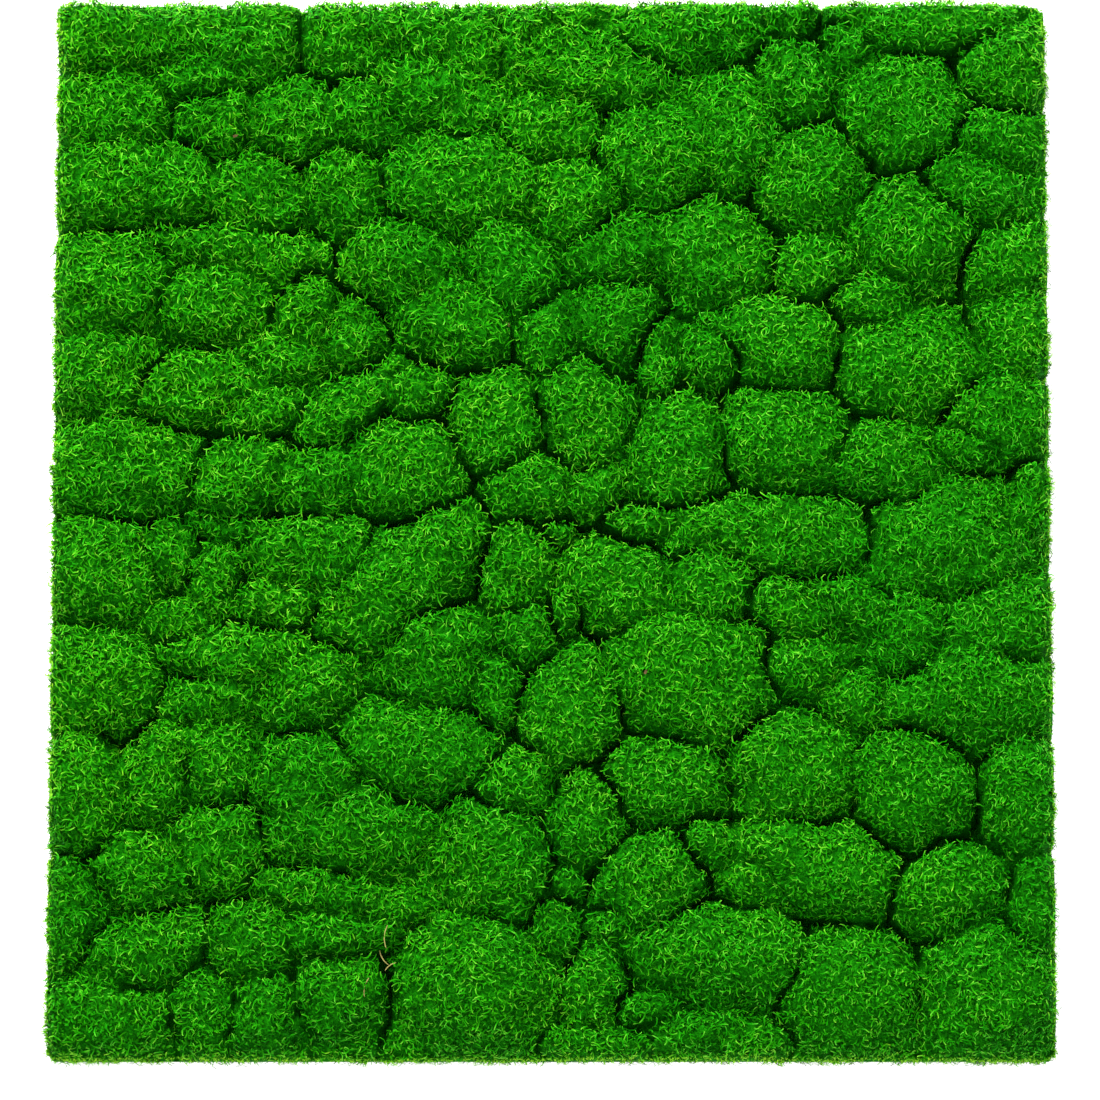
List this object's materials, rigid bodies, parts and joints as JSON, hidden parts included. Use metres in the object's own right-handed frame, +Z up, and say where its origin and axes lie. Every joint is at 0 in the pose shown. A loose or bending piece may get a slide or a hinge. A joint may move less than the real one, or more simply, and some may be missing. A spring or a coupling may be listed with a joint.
{
  "type": "moss mat",
  "caption": "Rectangular mat of live-looking cushion moss, domed cushions grown tightly side by side on a thin matted base, lying flat.",
  "frame": {"origin": "middle of the flat underside", "axes": "+Z up through the cushions' crowns, +Y towards the far long end, +X to the right"},
  "size_m": [0.499, 0.533, 0.0446],
  "materials": {
    "moss": "soft matted green moss leaves, yellow-green at their tips",
    "rhizoids": "dry brown felt of old stems and rhizoids"
  },
  "bodies": {
    "root": {"rhizoid_mat": "rhizoids", "cushion_01": "moss", "cushion_02": "moss", "cushion_03": "moss", "cushion_04": "moss", "cushion_05": "moss", "cushion_06": "moss", "cushion_07": "moss", "cushion_08": "moss", "cushion_09": "moss", "cushion_10": "moss", "cushion_11": "moss", "cushion_12": "moss", "cushion_13": "moss", "cushion_14": "moss", "cushion_15": "moss", "cushion_16": "moss", "cushion_17": "moss", "cushion_18": "moss", "cushion_19": "moss", "cushion_20": "moss", "cushion_21": "moss", "cushion_22": "moss", "cushion_23": "moss", "cushion_24": "moss", "cushion_25": "moss", "cushion_26": "moss", "cushion_27": "moss", "cushion_28": "moss", "cushion_29": "moss", "cushion_30": "moss", "cushion_31": "moss", "cushion_32": "moss", "cushion_33": "moss", "cushion_34": "moss", "cushion_35": "moss", "cushion_36": "moss", "cushion_37": "moss", "cushion_38": "moss", "cushion_39": "moss", "cushion_40": "moss", "cushion_41": "moss", "cushion_42": "moss", "cushion_43": "moss", "cushion_44": "moss", "cushion_45": "moss", "cushion_46": "moss", "cushion_47": "moss", "cushion_48": "moss", "cushion_49": "moss", "cushion_50": "moss", "cushion_51": "moss", "cushion_52": "moss", "cushion_53": "moss", "cushion_54": "moss", "cushion_55": "moss", "cushion_56": "moss", "cushion_57": "moss", "cushion_58": "moss", "cushion_59": "moss"}
  },
  "joints": []
}
